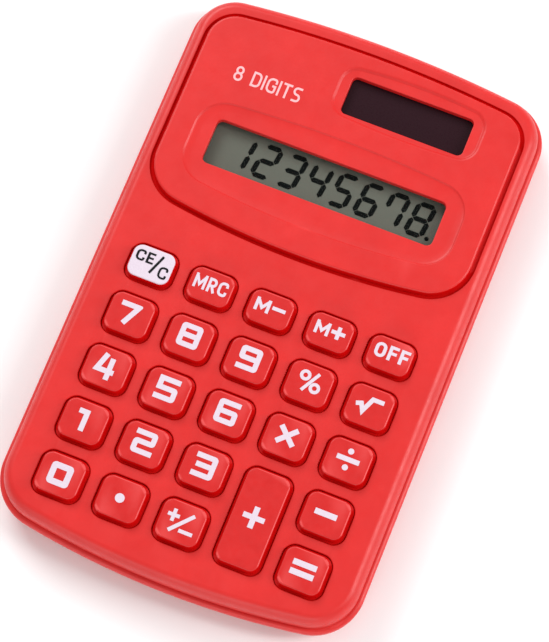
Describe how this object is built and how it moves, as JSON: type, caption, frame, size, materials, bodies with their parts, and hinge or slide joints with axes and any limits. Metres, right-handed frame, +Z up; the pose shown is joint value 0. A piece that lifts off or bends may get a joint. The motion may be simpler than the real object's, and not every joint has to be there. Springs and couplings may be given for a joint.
{
  "type": "pocket calculator",
  "caption": "Slim pocket calculator with rubber keys, a reflective liquid crystal display, a solar cell, and a lift-off door over its button cell.",
  "frame": {"origin": "middle of the footprint, on the surface that the calculator lies on", "axes": "+X to the calculator's right, +Y towards its display end, +Z up, out of the keys"},
  "size_m": [0.072, 0.115, 0.0124],
  "materials": {
    "case_plastic": "satin moulded ABS with a fine spark texture",
    "key_rubber": "satin silicone rubber",
    "key_print": "matt white ink on silicone rubber",
    "board": "green solder mask",
    "display_glass": "clear flat glass with polarising film",
    "display_backing": "grey-green reflective film",
    "dark_film": "dark printed film",
    "solar_glass": "dark brown amorphous silicon on glass",
    "steel": "bright nickel-plated steel",
    "red_wire": "PVC insulation",
    "black_wire": "PVC insulation",
    "black_resin": "black epoxy",
    "capacitor_sleeve": "blue plastic sleeve",
    "diode_glass": "orange glass body"
  },
  "bodies": {
    "casing": {"front_case": "case_plastic", "rear_case": "case_plastic", "keypad_mat": "key_rubber", "circuit_board": "board", "lcd_front_glass": "display_glass", "lcd_rear_glass": "display_glass", "lcd_reflector": "display_backing", "lcd_ribbon": "dark_film", "solar_cell": "solar_glass", "button_cell": "steel", "battery_contact_negative": "steel", "battery_contact_positive": "steel", "solar_wire_positive": "red_wire", "solar_wire_negative": "black_wire", "battery_wire_positive": "red_wire", "battery_wire_negative": "black_wire", "chip_cover": "black_resin", "storage_capacitor": "capacitor_sleeve", "clamp_diode": "diode_glass", "case_screw_1": "steel", "case_screw_2": "steel", "case_screw_3": "steel", "case_screw_4": "steel", "board_screw_1": "steel", "board_screw_2": "steel", "board_screw_3": "steel", "board_screw_4": "steel", "board_screw_5": "steel"},
    "battery_door": {"battery_door": "case_plastic"},
    "key_clear": {"key_clear": "key_print"},
    "key_memory_recall": {"key_memory_recall": "key_rubber"},
    "key_memory_minus": {"key_memory_minus": "key_rubber"},
    "key_memory_plus": {"key_memory_plus": "key_rubber"},
    "key_off": {"key_off": "key_rubber"},
    "key_7": {"key_7": "key_rubber"},
    "key_8": {"key_8": "key_rubber"},
    "key_9": {"key_9": "key_rubber"},
    "key_percent": {"key_percent": "key_rubber"},
    "key_square_root": {"key_square_root": "key_rubber"},
    "key_4": {"key_4": "key_rubber"},
    "key_5": {"key_5": "key_rubber"},
    "key_6": {"key_6": "key_rubber"},
    "key_multiply": {"key_multiply": "key_rubber"},
    "key_divide": {"key_divide": "key_rubber"},
    "key_1": {"key_1": "key_rubber"},
    "key_2": {"key_2": "key_rubber"},
    "key_3": {"key_3": "key_rubber"},
    "key_plus": {"key_plus": "key_rubber"},
    "key_minus": {"key_minus": "key_rubber"},
    "key_0": {"key_0": "key_rubber"},
    "key_point": {"key_point": "key_rubber"},
    "key_sign": {"key_sign": "key_rubber"},
    "key_equals": {"key_equals": "key_rubber"}
  },
  "joints": [
    {"name": "key_clear_press", "type": "slide", "parent": "casing", "child": "key_clear", "axis": [0, 0, 1], "range_m": [-0.0012, 0], "stiffness_N_per_m": 600, "springref_m": 0.0006},
    {"name": "key_memory_recall_press", "type": "slide", "parent": "casing", "child": "key_memory_recall", "axis": [0, 0, 1], "range_m": [-0.0012, 0], "stiffness_N_per_m": 600, "springref_m": 0.0006},
    {"name": "key_memory_minus_press", "type": "slide", "parent": "casing", "child": "key_memory_minus", "axis": [0, 0, 1], "range_m": [-0.0012, 0], "stiffness_N_per_m": 600, "springref_m": 0.0006},
    {"name": "key_memory_plus_press", "type": "slide", "parent": "casing", "child": "key_memory_plus", "axis": [0, 0, 1], "range_m": [-0.0012, 0], "stiffness_N_per_m": 600, "springref_m": 0.0006},
    {"name": "key_off_press", "type": "slide", "parent": "casing", "child": "key_off", "axis": [0, 0, 1], "range_m": [-0.0012, 0], "stiffness_N_per_m": 600, "springref_m": 0.0006},
    {"name": "key_7_press", "type": "slide", "parent": "casing", "child": "key_7", "axis": [0, 0, 1], "range_m": [-0.0012, 0], "stiffness_N_per_m": 600, "springref_m": 0.0006},
    {"name": "key_8_press", "type": "slide", "parent": "casing", "child": "key_8", "axis": [0, 0, 1], "range_m": [-0.0012, 0], "stiffness_N_per_m": 600, "springref_m": 0.0006},
    {"name": "key_9_press", "type": "slide", "parent": "casing", "child": "key_9", "axis": [0, 0, 1], "range_m": [-0.0012, 0], "stiffness_N_per_m": 600, "springref_m": 0.0006},
    {"name": "key_percent_press", "type": "slide", "parent": "casing", "child": "key_percent", "axis": [0, 0, 1], "range_m": [-0.0012, 0], "stiffness_N_per_m": 600, "springref_m": 0.0006},
    {"name": "key_square_root_press", "type": "slide", "parent": "casing", "child": "key_square_root", "axis": [0, 0, 1], "range_m": [-0.0012, 0], "stiffness_N_per_m": 600, "springref_m": 0.0006},
    {"name": "key_4_press", "type": "slide", "parent": "casing", "child": "key_4", "axis": [0, 0, 1], "range_m": [-0.0012, 0], "stiffness_N_per_m": 600, "springref_m": 0.0006},
    {"name": "key_5_press", "type": "slide", "parent": "casing", "child": "key_5", "axis": [0, 0, 1], "range_m": [-0.0012, 0], "stiffness_N_per_m": 600, "springref_m": 0.0006},
    {"name": "key_6_press", "type": "slide", "parent": "casing", "child": "key_6", "axis": [0, 0, 1], "range_m": [-0.0012, 0], "stiffness_N_per_m": 600, "springref_m": 0.0006},
    {"name": "key_multiply_press", "type": "slide", "parent": "casing", "child": "key_multiply", "axis": [0, 0, 1], "range_m": [-0.0012, 0], "stiffness_N_per_m": 600, "springref_m": 0.0006},
    {"name": "key_divide_press", "type": "slide", "parent": "casing", "child": "key_divide", "axis": [0, 0, 1], "range_m": [-0.0012, 0], "stiffness_N_per_m": 600, "springref_m": 0.0006},
    {"name": "key_1_press", "type": "slide", "parent": "casing", "child": "key_1", "axis": [0, 0, 1], "range_m": [-0.0012, 0], "stiffness_N_per_m": 600, "springref_m": 0.0006},
    {"name": "key_2_press", "type": "slide", "parent": "casing", "child": "key_2", "axis": [0, 0, 1], "range_m": [-0.0012, 0], "stiffness_N_per_m": 600, "springref_m": 0.0006},
    {"name": "key_3_press", "type": "slide", "parent": "casing", "child": "key_3", "axis": [0, 0, 1], "range_m": [-0.0012, 0], "stiffness_N_per_m": 600, "springref_m": 0.0006},
    {"name": "key_plus_press", "type": "slide", "parent": "casing", "child": "key_plus", "axis": [0, 0, 1], "range_m": [-0.0012, 0], "stiffness_N_per_m": 600, "springref_m": 0.0006},
    {"name": "key_minus_press", "type": "slide", "parent": "casing", "child": "key_minus", "axis": [0, 0, 1], "range_m": [-0.0012, 0], "stiffness_N_per_m": 600, "springref_m": 0.0006},
    {"name": "key_0_press", "type": "slide", "parent": "casing", "child": "key_0", "axis": [0, 0, 1], "range_m": [-0.0012, 0], "stiffness_N_per_m": 600, "springref_m": 0.0006},
    {"name": "key_point_press", "type": "slide", "parent": "casing", "child": "key_point", "axis": [0, 0, 1], "range_m": [-0.0012, 0], "stiffness_N_per_m": 600, "springref_m": 0.0006},
    {"name": "key_sign_press", "type": "slide", "parent": "casing", "child": "key_sign", "axis": [0, 0, 1], "range_m": [-0.0012, 0], "stiffness_N_per_m": 600, "springref_m": 0.0006},
    {"name": "key_equals_press", "type": "slide", "parent": "casing", "child": "key_equals", "axis": [0, 0, 1], "range_m": [-0.0012, 0], "stiffness_N_per_m": 600, "springref_m": 0.0006},
    {"name": "battery_door_lift_off", "type": "slide", "parent": "casing", "child": "battery_door", "axis": [0, 0, -1], "range_m": [0, 0.008]}
  ]
}
